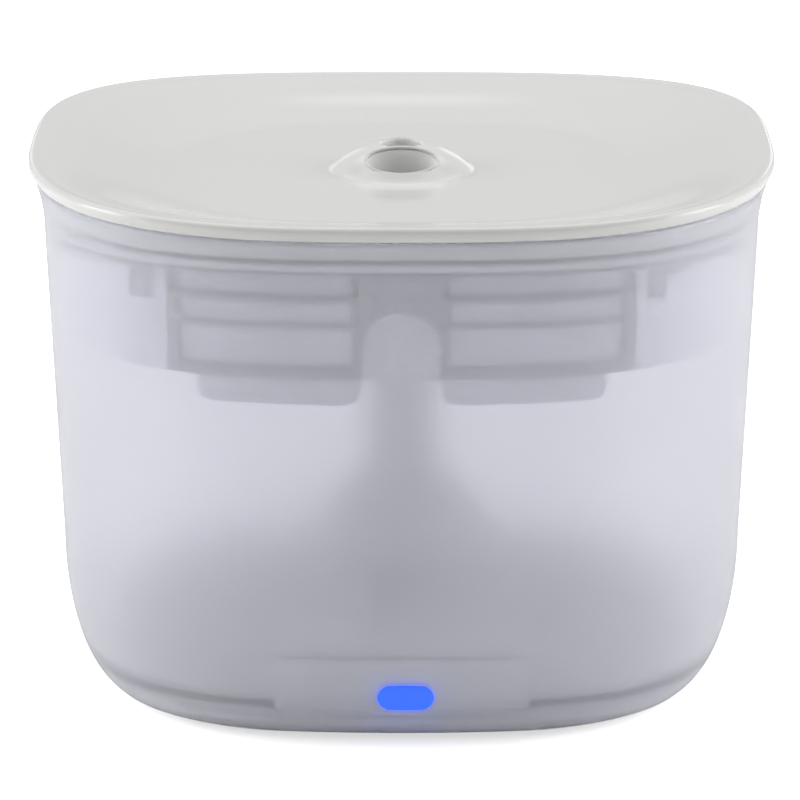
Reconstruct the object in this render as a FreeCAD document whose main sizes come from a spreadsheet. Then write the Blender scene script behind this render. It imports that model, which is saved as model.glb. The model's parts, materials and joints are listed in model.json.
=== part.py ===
import FreeCAD, Part
import math
import os
import re
import Sketcher

# A pet water fountain: a frosted tank, a glossy drinking tray, a filter basket and a pump.
# Millimetres, +Z up, the front at -Y, and the origin under the middle of the feet.

DIMENSIONS = {
    "rim_half": 95, "rim_front": 136, "rim_rise": 2.6, "lip_thick": 3.7,
    "wall_half_top": 91.25, "wall_half_low": 87.5, "wall": 2.2, "flare_start": 121,
    "round_out": 14.5, "round_up": 38.1, "plate_low": 1.5, "floor_top": 12, "floor_thick": 2.2,
    "ledge": 124, "ledge_half": 90, "dish_deep": 7, "tray_thick": 2.2,
    "axis_y": 4, "dome_radius": 18.4, "dome_rise": 7.1, "spout_radius": 5.4, "spout_wall": 1.1,
    "spout_low": 116, "drain_half_wide": 9, "drain_half_tall": 4.5, "drain_tilt": 33.7,
    "drain_reach": 10.25,
    "basket_floor": 96, "basket_half": 86, "basket_wall": 1.6, "flange_thick": 1.8,
    "relief_half": 87.1, "relief_bow": 198, "box_half_wide": 57, "box_top": 117, "box_rib": 109.5,
    "pocket_inner": 10, "pocket_outer": 50, "pocket_low": 89, "pocket_deep": 24,
    "column_half": 10.6, "column_low": 107, "sleeve_radius": 9.7,
    "cart_half_wide": 52, "cart_front": 74.5, "cart_back": 12, "cart_low": 98.2, "cart_top": 115,
    "pump_radius": 24, "pump_shoulder": 30, "pump_neck": 51, "riser_radius": 9, "riser_bore": 7.6,
    "riser_top": 120.5, "pump_wall": 1.6, "rotor_radius": 7.2, "shaft_radius": 1.5, "bush_radius": 2.4,
    "impeller_radius": 10.5, "impeller_low": 36.4, "impeller_tall": 4.4,
    "foot_place": 48, "foot_radius": 6.8, "foot_sunk": 0.8, "screw_x": 56, "screw_y": 36,
    "coil_radius": 20, "coil_bore": 10, "coil_tall": 3.2, "ferrite_thick": 1.6,
    "light_level": 13.3, "light_x": 1, "light_half_wide": 6.7, "light_half_tall": 3.3,
    "block_half_wide": 32, "block_back": 66, "block_depth": 34, "block_top": 25, "block_wall": 2,
    "socket_level": 11, "socket_radius": 4.3, "socket_block_half": 8.5, "socket_block_top": 18.5,
    "socket_bore": 2.75, "pin_radius": 1, "case_half_wide": 5.5, "case_half_tall": 4.6,
    "boss_radius": 3.4, "boss_bore": 1.6, "shank_radius": 1.5, "shank_long": 6, "head_radius": 3.2,
    "head_tall": 0.6, "clear_bore": 1.8, "board_half_wide": 27.5, "board_front": 62, "board_thick": 1.6,
    "fit_gap": 0.3, "hole_radius": 3, "slot_half": 1.4,
}

# The side arcs and corner arcs of the plan outline, as shares of its half width.
SIDE_SHARE = 3.6
CORNER_SHARE = 0.655
# Where the lower rounding of the wall is cut into sections, in degrees down from the straight wall.
SEAM_ANGLE = 77
ROUND_ANGLES = (SEAM_ANGLE, 64, 50, 36, 22, 10, 0)
INTAKE_SLOTS = 20
IMPELLER_BLADES = 6
# The steps between the basket's return holes and between the lid's slots.
HOLE_STEP = 16
SLOT_STEP = 7.6

doc = FreeCAD.newDocument("pet_fountain")
sheet = doc.addObject("Spreadsheet::Sheet", "dims")
for row, (alias, value) in enumerate(DIMENSIONS.items(), start=1):
    sheet.set(f"A{row}", alias)
    sheet.set(f"B{row}", str(value))
    sheet.setAlias(f"B{row}", alias)
doc.recompute()

V = FreeCAD.Vector
UP = V(0, 0, 1)
WORD = re.compile(r"[a-z_]{3,}")
parts = []


def expression(text):
    """The text with each dimension's name pointing at its cell."""
    return WORD.sub(lambda m: "dims." + m.group() if m.group() in DIMENSIONS else m.group(), str(text))


def size(text):
    """The number that an expression gives."""
    value = sheet.evalExpression(expression(text))
    return float(getattr(value, "Value", value))


def new_body(name):
    """An empty body that becomes one sub-part."""
    made = doc.addObject("PartDesign::Body", name)
    made.Label = name
    parts.append(made)
    return made


def new_sketch(body, role="XY_Plane", level="0", spin=0):
    """A sketch on one of the body's own planes, moved along the plane's normal and spun about it."""
    made = body.newObject("Sketcher::SketchObject", body.Name + "_sketch")
    plane = [o for o in body.Origin.OriginFeatures if o.Role == role][0]
    made.AttachmentSupport = [(plane, "")]
    made.MapMode = "FlatFace"
    if spin:
        made.AttachmentOffset = FreeCAD.Placement(V(0, 0, 0), FreeCAD.Rotation(UP, spin))
    made.setExpression("AttachmentOffset.Base.z", expression(level))
    return made


def bind(sketch, kind, geometry, point, text):
    """Ties a distance in a sketch to an expression; a zero distance puts the point on the axis."""
    value = size(text)
    if abs(value) < 1e-9:
        axis = -2 if kind == "DistanceX" else -1
        sketch.addConstraint(Sketcher.Constraint("PointOnObject", geometry, point, axis))
        return
    index = sketch.addConstraint(Sketcher.Constraint(kind, -1, 1, geometry, point, value))
    name = f"size_{index}"
    sketch.renameConstraint(index, name)
    sketch.setExpression("Constraints." + name, expression(text))


def bind_radius(sketch, geometry, text):
    """Ties an arc's or circle's radius to an expression."""
    index = sketch.addConstraint(Sketcher.Constraint("Radius", geometry, size(text)))
    name = f"size_{index}"
    sketch.renameConstraint(index, name)
    sketch.setExpression("Constraints." + name, expression(text))


def draw_polygon(sketch, corners):
    """A closed outline of straight lines through corners, each a pair of expressions."""
    points = [V(size(a), size(b), 0) for a, b in corners]
    count = len(points)
    lines = [Part.LineSegment(points[i], points[(i + 1) % count]) for i in range(count)]
    ids = sketch.addGeometry(lines, False)
    for i in range(count):
        sketch.addConstraint(Sketcher.Constraint("Coincident", ids[i], 2, ids[(i + 1) % count], 1))
    for i, (across, along) in enumerate(corners):
        bind(sketch, "DistanceX", ids[i], 1, across)
        bind(sketch, "DistanceY", ids[i], 1, along)


def draw_circle(sketch, across, along, radius):
    """A circle placed and sized by expressions."""
    circle = Part.Circle(V(size(across), size(along), 0), UP, size(radius))
    geometry = sketch.addGeometry(circle, False)
    bind_radius(sketch, geometry, radius)
    bind(sketch, "DistanceX", geometry, 3, across)
    bind(sketch, "DistanceY", geometry, 3, along)


def draw_box(sketch, left, right, low, high):
    """A rectangle between four expressions."""
    draw_polygon(sketch, [(left, low), (right, low), (right, high), (left, high)])


def draw_plan(sketch, half):
    """The rounded-square plan outline: four wide side arcs joined by four tangent corner arcs."""
    reach = size(half)
    side = SIDE_SHARE * reach
    corner = CORNER_SHARE * reach
    back = side - reach
    # The corner centre lies on the diagonal, side - corner away from the side arc's centre.
    place = (math.sqrt(2 * (side - corner) ** 2 - back**2) - back) / 2
    span = math.atan2(place, place + back)
    arcs = []
    for quarter in range(4):
        turn = quarter * math.pi / 2
        middle = V(-back * math.cos(turn), -back * math.sin(turn), 0)
        arcs.append(Part.ArcOfCircle(Part.Circle(middle, UP, side), turn - span, turn + span))
        turn += math.pi / 4
        middle = V(place * math.sqrt(2) * math.cos(turn), place * math.sqrt(2) * math.sin(turn), 0)
        left = math.pi / 4 - span
        arcs.append(Part.ArcOfCircle(Part.Circle(middle, UP, corner), turn - left, turn + left))
    ids = sketch.addGeometry(arcs, False)
    rules = [Sketcher.Constraint("Tangent", ids[i], 2, ids[(i + 1) % 8], 1) for i in range(8)]
    rules += [Sketcher.Constraint("PointOnObject", ids[2 * k], 3, -1 - k % 2) for k in range(4)]
    rules += [Sketcher.Constraint("Equal", ids[0], ids[2 * k]) for k in range(1, 4)]
    rules += [Sketcher.Constraint("Equal", ids[1], ids[2 * k + 1]) for k in range(1, 4)]
    sketch.addConstraint(rules)
    bind_radius(sketch, ids[0], f"({half})*{SIDE_SHARE}")
    bind_radius(sketch, ids[1], f"({half})*{CORNER_SHARE}")
    for k, (kind, sign) in enumerate((("X", "-"), ("Y", "-"), ("X", ""), ("Y", ""))):
        bind(sketch, "Distance" + kind, ids[2 * k], 3, f"{sign}(({half})*{SIDE_SHARE - 1})")


def draw_bowed(sketch, left, right, low, radius, far):
    """A strip with one bowed edge: an arc whose lowest point is at low, two sides, and a line at far."""
    middle = size(low) + size(radius)
    bow = size(radius)
    ends = [size(left), size(right)]
    heights = [middle - math.sqrt(bow**2 - x**2) for x in ends]
    angles = [math.atan2(y - middle, x) for x, y in zip(ends, heights)]
    corners = [V(ends[1], size(far), 0), V(ends[0], size(far), 0)]
    ids = sketch.addGeometry([
        Part.ArcOfCircle(Part.Circle(V(0, middle, 0), UP, bow), angles[0], angles[1]),
        Part.LineSegment(V(ends[1], heights[1], 0), corners[0]),
        Part.LineSegment(corners[0], corners[1]),
        Part.LineSegment(corners[1], V(ends[0], heights[0], 0)),
    ], False)
    sketch.addConstraint([
        Sketcher.Constraint("Coincident", ids[0], 2, ids[1], 1),
        Sketcher.Constraint("Coincident", ids[1], 2, ids[2], 1),
        Sketcher.Constraint("Coincident", ids[2], 2, ids[3], 1),
        Sketcher.Constraint("Coincident", ids[3], 2, ids[0], 1),
        Sketcher.Constraint("Vertical", ids[1]),
        Sketcher.Constraint("Horizontal", ids[2]),
        Sketcher.Constraint("Vertical", ids[3]),
        Sketcher.Constraint("PointOnObject", ids[0], 3, -2),
    ])
    bind_radius(sketch, ids[0], radius)
    bind(sketch, "DistanceY", ids[0], 3, f"({low})+({radius})")
    bind(sketch, "DistanceX", ids[1], 2, right)
    bind(sketch, "DistanceX", ids[2], 2, left)
    bind(sketch, "DistanceY", ids[1], 2, far)


def feature(body, kind, sketch, **values):
    """A feature made from a sketch, its text values bound as expressions."""
    made = body.newObject("PartDesign::" + kind, body.Name + "_" + kind.lower())
    made.Profile = sketch
    for name, value in values.items():
        if isinstance(value, str):
            made.setExpression(name, expression(value))
        else:
            setattr(made, name, value)
    sketch.Visibility = False
    doc.recompute()
    return made


def pad(body, sketch, length):
    """Adds the sketch carried along its normal."""
    return feature(body, "Pad", sketch, Length=length)


def pocket(body, sketch, length, both=False, flipped=True):
    """Cuts the sketch carried along its normal, or both ways from it."""
    if both:
        return feature(body, "Pocket", sketch, Length=length, Midplane=True)
    return feature(body, "Pocket", sketch, Length=length, Reversed=flipped)


def loft(body, sections, cut=False, ruled=False):
    """Adds or cuts a loft through plan outlines, given as pairs of level and half width."""
    sketches = []
    for level, half in sections:
        sketch = new_sketch(body, level=level)
        draw_plan(sketch, half)
        sketches.append(sketch)
    doc.recompute()
    kind = "SubtractiveLoft" if cut else "AdditiveLoft"
    return feature(body, kind, sketches[0], Sections=sketches[1:], Ruled=ruled)


def turn_profile(body, corners, cut=False, centre="axis_y"):
    """Adds or cuts a closed profile of radius and level pairs turned about an upright axis."""
    sketch = new_sketch(body, "XZ_Plane", f"-({centre})")
    draw_polygon(sketch, corners)
    kind = "Groove" if cut else "Revolution"
    made = feature(body, kind, sketch, ReferenceAxis=(sketch, ["V_Axis"]), Angle=360.0)
    return made


def ring_profile(inner, outer, low, high):
    """The profile of a plain ring, or of a disc where inner is zero."""
    return [(inner, low), (outer, low), (outer, high), (inner, high)]


def turned_part(name, *profiles):
    """A sub-part turned about the pump's axis."""
    body = new_body(name)
    for corners in profiles:
        turn_profile(body, corners)
    return body


def plan_ring(body, outer, inner, low, high):
    """Adds an upright band between two plan outlines."""
    sketch = new_sketch(body, level=low)
    draw_plan(sketch, outer)
    draw_plan(sketch, inner)
    return pad(body, sketch, f"({high})-({low})")


def front_strip(body, left, right, low, high, reach, depth, cut=False):
    """Adds or cuts an upright block whose front follows the bowed front wall at the given reach."""
    sketch = new_sketch(body, level=low)
    draw_bowed(sketch, left, right, f"-({reach})", "relief_bow", f"({depth})-({reach})")
    length = f"({high})-({low})"
    return pocket(body, sketch, length) if cut else pad(body, sketch, length)


def wall_block(body, half_wide, depth, sections, spin=0, cut=False):
    """Adds or cuts a block against the front wall, or the back wall when spun, given level and reach pairs."""
    sketches = []
    for level, reach in sections:
        sketch = new_sketch(body, level=level, spin=spin)
        bow = f"({reach})*{SIDE_SHARE}"
        draw_bowed(sketch, f"-({half_wide})", half_wide, f"-({reach})", bow, f"({depth})-wall_half_low")
        sketches.append(sketch)
    doc.recompute()
    kind = "SubtractiveLoft" if cut else "AdditiveLoft"
    return feature(body, kind, sketches[0], Sections=sketches[1:], Ruled=True)


def trim_to_saddle(body, drop, far):
    """Cuts what lies between the saddle surface, lowered by drop, and a level."""
    sketch = new_sketch(body, "XZ_Plane")
    radius = "rim_half^2/(2*rim_rise)"
    draw_bowed(sketch, "-rim_half-5", "rim_half+5", f"rim_front-({drop})", radius, far)
    return pocket(body, sketch, "rim_half*3", both=True)


def solid(kind, name, **values):
    """A primitive whose sizes and place are bound to expressions."""
    made = doc.addObject("Part::" + kind, name)
    for key, value in values.items():
        path = {"x": "Placement.Base.x", "y": "Placement.Base.y", "z": "Placement.Base.z"}.get(key, key)
        made.setExpression(path, expression(value))
    return made


def block(name, left, right, front, back, low, high):
    """A box between six expressions."""
    return solid("Box", name, x=left, y=front, z=low, Length=f"({right})-({left})",
                 Width=f"({back})-({front})", Height=f"({high})-({low})")


def group(name, members):
    """Several solids as one sub-part, fused where they touch."""
    made = doc.addObject("Part::MultiFuse", name)
    made.Shapes = members
    made.Label = name
    parts.append(made)
    return made


def cut_from(name, base, tool):
    """A sub-part made by taking tool out of base."""
    made = doc.addObject("Part::Cut", name)
    made.Base = base
    made.Tool = tool
    made.Label = name
    parts.append(made)
    return made


def single(made, name):
    """Lists one primitive as a sub-part."""
    made.Label = name
    parts.append(made)
    return made


def four_places(across, along):
    """The four corner places at plus and minus both expressions."""
    return [(sx + across, sy + along) for sx in ("", "-") for sy in ("", "-")]


# The level where the straight wall ends, and the lower wall's half width and level at an angle.
ROUND_START = "(plate_low+round_up)"


def round_section(angle, inset="0"):
    """Level and half width of the wall's lower rounding, so many degrees down from the straight wall."""
    level = f"{ROUND_START}-round_up*sin({angle} deg)"
    return level, f"wall_half_low-round_out*(1-cos({angle} deg))-({inset})"


def wall_half(level):
    """Half width of the straight wall at a level."""
    slope = f"(wall_half_top-wall_half_low)/(flare_start-{ROUND_START})"
    return f"wall_half_low+({level}-{ROUND_START})*{slope}"


def make_tank():
    """The frosted tank: the outer wall in one piece, with a raised floor over the electronics room."""
    body = new_body("tank_shell")
    loft(body, [round_section(a) for a in ROUND_ANGLES])
    loft(body, [(ROUND_START, "wall_half_low"), ("flare_start", "wall_half_top")], ruled=True)
    loft(body, [("flare_start", "wall_half_top"), ("flare_start+5", "wall_half_top+0.65"),
                ("flare_start+9", "wall_half_top+1.7"), ("flare_start+14", "wall_half_top+2.6")])
    trim_to_saddle(body, "lip_thick+fit_gap", "rim_front+10")
    # The water room follows the wall's rounding down to the floor.
    inner = [round_section(angle, "wall") for angle in (46, 36, 24, 12, 0)]
    loft(body, [("floor_top", "wall_half_low-9.5")] + inner, cut=True, ruled=True)
    loft(body, [(ROUND_START, "wall_half_low-wall"), ("ledge", wall_half("ledge") + "-wall")],
         cut=True, ruled=True)
    loft(body, [("ledge", "ledge_half"), ("rim_front+4", "ledge_half")], cut=True, ruled=True)
    # Two blocks stand on the floor: one behind the light, and a small one in front of the power socket.
    wall_block(body, "block_half_wide", "block_depth",
               [("floor_top-1", "wall_half_low-6"), ("floor_top+5", "wall_half_low-4"),
                ("block_top", "wall_half_low-2.2")])
    wall_block(body, "socket_block_half", "24",
               [("floor_top-1", "wall_half_low-6"), ("socket_block_top", "wall_half_low-3.6")], spin=180)
    # The electronics room under the floor, open below, reaches up into both blocks.
    room_top = "floor_top-floor_thick"
    loft(body, [("plate_low", "wall_half_low-14.3"), ("plate_low+4.5", "wall_half_low-12.3"),
                (room_top, "wall_half_low-9")], cut=True, ruled=True)
    wall_block(body, "block_half_wide-block_wall", "block_depth-block_wall",
               [("plate_low+4.5", "wall_half_low-12.3"), (room_top, "wall_half_low-8.7"),
                ("floor_top+5", "wall_half_low-5.3"), ("block_top-block_wall", "wall_half_low-3.8")], cut=True)
    wall_block(body, "socket_block_half-block_wall", "22",
               [("plate_low+4.5", "wall_half_low-12.3"), (room_top, "wall_half_low-8.7"),
                ("socket_block_top-block_wall", "wall_half_low-5.6")], spin=180, cut=True)
    # Four screw bosses under the floor, and the ring on the floor that the pump stands in.
    sketch = new_sketch(body, level="plate_low+3.2")
    for across, along in four_places("screw_x", "screw_y"):
        draw_circle(sketch, across, along, "boss_radius")
    pad(body, sketch, "floor_top-floor_thick-plate_low-3.2+0.5")
    sketch = new_sketch(body, level="plate_low+3.2")
    for across, along in four_places("screw_x", "screw_y"):
        draw_circle(sketch, across, along, "boss_bore")
    pocket(body, sketch, "4.4")
    turn_profile(body, ring_profile("pump_radius+0.5", "pump_radius+2.1", "floor_top-0.5", "floor_top+2.5"))
    # The power socket's hole in the back wall.
    sketch = new_sketch(body, "XZ_Plane", "-wall_half_low+14")
    draw_circle(sketch, "0", "socket_level", "socket_radius+0.2")
    feature(body, "Pocket", sketch, Length="20", Reversed=False)
    return body


def make_base():
    """The bottom plate, its gasket, the rubber feet and the screws."""
    plate = new_body("base_plate")
    low_sections = [round_section(a) for a in (90, 84, SEAM_ANGLE)]
    loft(plate, low_sections, ruled=True)
    sketch = new_sketch(plate, level="plate_low+0.5")
    draw_plan(sketch, "wall_half_low-14.6")
    pad(plate, sketch, "2.5")
    # The ring that carries the sending coil, and two slotted rails for the upright control board.
    turn_profile(plate, ring_profile("coil_radius-3", "coil_radius-1", "plate_low+2.5",
                                     "floor_top-floor_thick-coil_tall-ferrite_thick-0.2"))
    sketch = new_sketch(plate, level="plate_low+2.5")
    for left, right in (("-28", "-24"), ("24", "28")):
        draw_box(sketch, left, right, "-board_front-2", "-board_front-0.1")
        draw_box(sketch, left, right, "board_thick-board_front+0.1", "board_thick-board_front+2")
    pad(plate, sketch, "4.5")
    sketch = new_sketch(plate, level="plate_low")
    for across, along in four_places("foot_place", "foot_place"):
        draw_circle(sketch, across, along, "foot_radius+0.1")
    for across, along in four_places("screw_x", "screw_y"):
        draw_circle(sketch, across, along, "head_radius+fit_gap")
    pocket(plate, sketch, "foot_sunk")
    sketch = new_sketch(plate, level="plate_low")
    for across, along in four_places("screw_x", "screw_y"):
        draw_circle(sketch, across, along, "clear_bore")
    pocket(plate, sketch, "6")

    gasket = new_body("base_gasket")
    plan_ring(gasket, "wall_half_low-13.3", "wall_half_low-15.6", "plate_low+3", "plate_low+4.3")

    feet = [solid("Cylinder", f"foot_{i}", x=a, y=b, Radius="foot_radius", Height="plate_low+foot_sunk")
            for i, (a, b) in enumerate(four_places("foot_place", "foot_place"))]
    group("rubber_feet", feet)
    screws = []
    for i, (a, b) in enumerate(four_places("screw_x", "screw_y")):
        head = solid("Cylinder", f"head_{i}", x=a, y=b, z="plate_low+foot_sunk-head_tall",
                     Radius="head_radius", Height="head_tall")
        shank = solid("Cylinder", f"shank_{i}", x=a, y=b, z="plate_low+foot_sunk-head_tall/3",
                      Radius="shank_radius", Height="shank_long")
        screws += [head, shank]
    group("base_screws", screws)


def make_electronics():
    """The sending coil, the control board, the front light and the power socket."""
    under = "floor_top-floor_thick"
    turned_part("sending_coil", ring_profile("coil_bore", "coil_radius", f"{under}-coil_tall-0.1", f"{under}-0.1"))
    turned_part("ferrite_plate", ring_profile("0", "coil_radius+2", f"{under}-coil_tall-0.1-ferrite_thick",
                                              f"{under}-coil_tall-0.1"))
    face = "board_thick-board_front"
    single(block("board", "-board_half_wide", "board_half_wide", "-board_front", face, "plate_low+3",
                 "block_top-3.6"), "control_board")
    chips = [block("chip", "-6", "4", face, face + "+1.4", "plate_low+6", "plate_low+16"),
             block("plug", "12", "22", face, face + "+4.9", "plate_low+12", "plate_low+17"),
             block("coil_driver", "-20", "-12", face, face + "+4.4", "plate_low+10", "plate_low+18")]
    group("board_components", chips)

    # The block behind the front wall slopes with the wall and has a window for the lens.
    holder = new_body("light_holder")
    sketch = new_sketch(holder, "YZ_Plane", "-block_half_wide+3")
    draw_polygon(sketch, [("-wall_half_low+19.2", "plate_low+3"), ("-wall_half_low+10.2", "plate_low+10.5"),
                          ("-wall_half_low+6.9", "block_top-block_wall-0.4"),
                          ("-block_back", "block_top-block_wall-0.4"),
                          ("-block_back", "plate_low+3")])
    pad(holder, sketch, "block_half_wide*2-6")
    sketch = new_sketch(holder, "XZ_Plane", "block_back-0.1")
    draw_box(sketch, "light_x-light_half_wide-fit_gap", "light_x+light_half_wide+fit_gap",
             "light_level-light_half_tall-fit_gap", "light_level+light_half_tall+fit_gap")
    feature(holder, "Pocket", sketch, Length="20", Reversed=True)

    lens = new_body("light_lens")
    sketch = new_sketch(lens, "XZ_Plane", "block_back+6")
    flat = "light_half_wide-light_half_tall"
    draw_box(sketch, f"light_x-({flat})", f"light_x+({flat})", "light_level-light_half_tall",
             "light_level+light_half_tall")
    pad(lens, sketch, "6")
    for sign in ("-", "+"):
        sketch = new_sketch(lens, "XZ_Plane", "block_back+6")
        draw_circle(sketch, f"light_x{sign}({flat})", "light_level", "light_half_tall")
        pad(lens, sketch, "6")
    led = [block("led_board", "light_x-light_half_wide-0.1", "light_x+light_half_wide+0.1", "-block_back-1.3",
                 "-block_back-0.1", "light_level-light_half_tall-0.1", "light_level+light_half_tall+0.1"),
           block("led_chip", "light_x-1.7", "light_x+1.7", "-block_back-2.5", "-block_back-1.2",
                 "light_level-1.7", "light_level+1.7")]
    group("light_module", led)

    barrel = solid("Cylinder", "barrel", y="wall_half_low-7.5", z="socket_level", Radius="socket_radius", Height="12")
    barrel.Placement.Rotation = FreeCAD.Rotation(V(1, 0, 0), 90)
    case = block("case", "-case_half_wide", "case_half_wide", "wall_half_low-21", "wall_half_low-13",
                 "socket_level-case_half_tall", "socket_level+case_half_tall")
    stand = block("stand", "-case_half_wide", "case_half_wide", "wall_half_low-21", "wall_half_low-16.5",
                  "plate_low+3", "socket_level")
    whole = doc.addObject("Part::MultiFuse", "socket_whole")
    whole.Shapes = [barrel, case, stand]
    hollow = solid("Cylinder", "hollow", y="wall_half_low-7.4", z="socket_level", Radius="socket_bore", Height="9")
    hollow.Placement.Rotation = FreeCAD.Rotation(V(1, 0, 0), 90)
    cut_from("power_socket", whole, hollow)
    pin = solid("Cylinder", "pin", y="wall_half_low-8.4", z="socket_level", Radius="pin_radius", Height="8")
    pin.Placement.Rotation = FreeCAD.Rotation(V(1, 0, 0), 90)
    single(pin, "socket_pin")


def make_tray():
    """The glossy drinking tray: a saddle-shaped rim, a shallow dish, the spout dome and its drain."""
    body = new_body("drinking_tray")
    floor = "rim_front-dish_deep"
    loft(body, [("rim_front-6", "rim_half-1.7"), ("rim_front-3.2", "rim_half-1"),
                ("rim_front", "rim_half-0.15"), ("rim_front+5", "rim_half")], ruled=True)
    trim_to_saddle(body, "lip_thick", "rim_front-12")
    loft(body, [(f"{floor}-tray_thick", "rim_half-37"), (f"{floor}-tray_thick+0.8", "rim_half-30"),
                (f"{floor}-tray_thick+3.6", "rim_half-16"), (f"{floor}-tray_thick+6.3", "rim_half-6")],
         ruled=True)
    plan_ring(body, "ledge_half-1.4", "ledge_half-3.2", "ledge+3", f"{floor}+4.6")
    trim_to_saddle(body, "0", "rim_front+12")
    loft(body, [(floor, "rim_half-40"), (f"{floor}+0.7", "rim_half-32"), (f"{floor}+2.7", "rim_half-19"),
                (f"{floor}+5", "rim_half-8"), (f"{floor}+7", "rim_half-2.6"), (f"{floor}+11", "rim_half-1.6")],
         cut=True, ruled=True)
    # The dome is a shell over a round hole in the floor.
    turn_profile(body, ring_profile("0", "dome_radius-2", f"{floor}-4", f"{floor}+1"), cut=True)
    dome = [("dome_radius-2", f"{floor}-tray_thick"), ("dome_radius+1.5", f"{floor}-0.6"),
            ("dome_radius+1.5", floor), ("dome_radius-0.6", f"{floor}+0.6"), ("dome_radius-2.6", f"{floor}+2.3"),
            ("dome_radius-5.6", f"{floor}+4.6"), ("dome_radius-9", f"{floor}+dome_rise-0.8"),
            ("spout_radius+1.6", f"{floor}+dome_rise"), ("spout_radius", f"{floor}+dome_rise-0.4"),
            ("spout_radius", f"{floor}+dome_rise-1.9"), ("dome_radius-9", f"{floor}+dome_rise-2.3"),
            ("dome_radius-6.2", f"{floor}+3"), ("dome_radius-3.6", f"{floor}+0.8")]
    turn_profile(body, dome)
    # The drain is an upright oval hole in the dome's tilted front, in front of the spout's tube.
    sketch = new_sketch(body, level=f"{floor}-6")
    draw_drain(sketch)
    pocket(body, sketch, "dome_rise+8")
    turn_profile(body, ring_profile("spout_radius", "spout_radius+spout_wall", "spout_low",
                                    f"{floor}+dome_rise-0.5"))
    return body


def draw_drain(sketch):
    """The drain's outline seen from above: an ellipse in front of the spout."""
    centre = V(0, size("axis_y-drain_reach"), 0)
    tall = "drain_half_tall*cos(drain_tilt*1deg)"
    ellipse = Part.Ellipse(centre + V(size("drain_half_wide"), 0, 0), centre + V(0, size(tall), 0), centre)
    geometry = sketch.addGeometry(ellipse, False)
    sketch.exposeInternalGeometry(geometry)
    major, minor = geometry + 1, geometry + 2
    sketch.addConstraint(Sketcher.Constraint("Horizontal", major))
    sketch.addConstraint(Sketcher.Constraint("PointOnObject", geometry, 3, -2))
    bind(sketch, "DistanceY", geometry, 3, "axis_y-drain_reach")
    for line, length in ((major, "drain_half_wide*2"), (minor, f"2*({tall})")):
        index = sketch.addConstraint(Sketcher.Constraint("Distance", line, size(length)))
        sketch.renameConstraint(index, f"size_{index}")
        sketch.setExpression(f"Constraints.size_{index}", expression(length))


def make_basket():
    """The filter basket: a tub hung on the tank's ledge, with the box form on its front."""
    body = new_body("filter_basket")
    loft(body, [("basket_floor", "basket_half-2"), ("basket_floor+1.5", "basket_half-0.4"),
                ("ledge", "basket_half+1")], ruled=True)
    sketch = new_sketch(body, level="ledge")
    draw_plan(sketch, "ledge_half-fit_gap")
    pad(body, sketch, "flange_thick")
    front_strip(body, "-box_half_wide", "box_half_wide", "basket_floor+1", "box_top", "relief_half", "12")
    front_strip(body, "-box_half_wide", "box_half_wide", "box_top-1", "ledge+flange_thick", "relief_half-0.8", "12")
    front_strip(body, "-column_half", "column_half", "column_low", "ledge+flange_thick", "relief_half+0.3", "6")
    for sign, outer in (("-", "box_half_wide+6.5"), ("", "box_half_wide+5")):
        ends = sorted([f"{sign}(box_half_wide+1)", f"{sign}({outer})"], key=size)
        front_strip(body, ends[0], ends[1], "box_top-3", "ledge+flange_thick", "relief_half-1.6", "12")
    pockets = [("-pocket_outer", "-pocket_inner"), ("pocket_inner", "pocket_outer")]
    for left, right in pockets:
        front_strip(body, left, right, "pocket_low", "basket_floor+1", "basket_half-0.2", "pocket_deep")
    # Two shallow windows in the box form, above and below its rib.
    for left, right in (("-box_half_wide+3.5", "-column_half-1"), ("column_half+1", "box_half_wide-3.5")):
        for low, high in (("basket_floor+3", "box_rib-0.8"), ("box_rib+0.8", "box_top-1.5")):
            front_strip(body, left, right, low, high, "relief_half+1", "1.8", cut=True)
    loft(body, [("basket_floor+basket_wall", "basket_half-3.4"), ("basket_floor+3", "basket_half-2.2"),
                ("ledge+flange_thick", "basket_half-0.8")], cut=True, ruled=True)
    for left, right in pockets:
        front_strip(body, f"{left}+basket_wall", f"{right}-basket_wall", "pocket_low+basket_wall",
                    "basket_floor+3", "basket_half-2", "pocket_deep-3.4", cut=True)
    # The sleeve that the riser passes through, and return holes in the floor at the back.
    top = "ledge-6"
    turn_profile(body, ring_profile("sleeve_radius", "sleeve_radius+1.4", "basket_floor", top))
    turn_profile(body, ring_profile("0", "sleeve_radius", "basket_floor-2", top), cut=True)
    sketch = new_sketch(body, level="basket_floor-1")
    for column in range(-3, 4):
        for line in range(3):
            draw_circle(sketch, f"{column * HOLE_STEP}", f"{28 + line * HOLE_STEP}", "hole_radius")
    pocket(body, sketch, "4")
    return body


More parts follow.
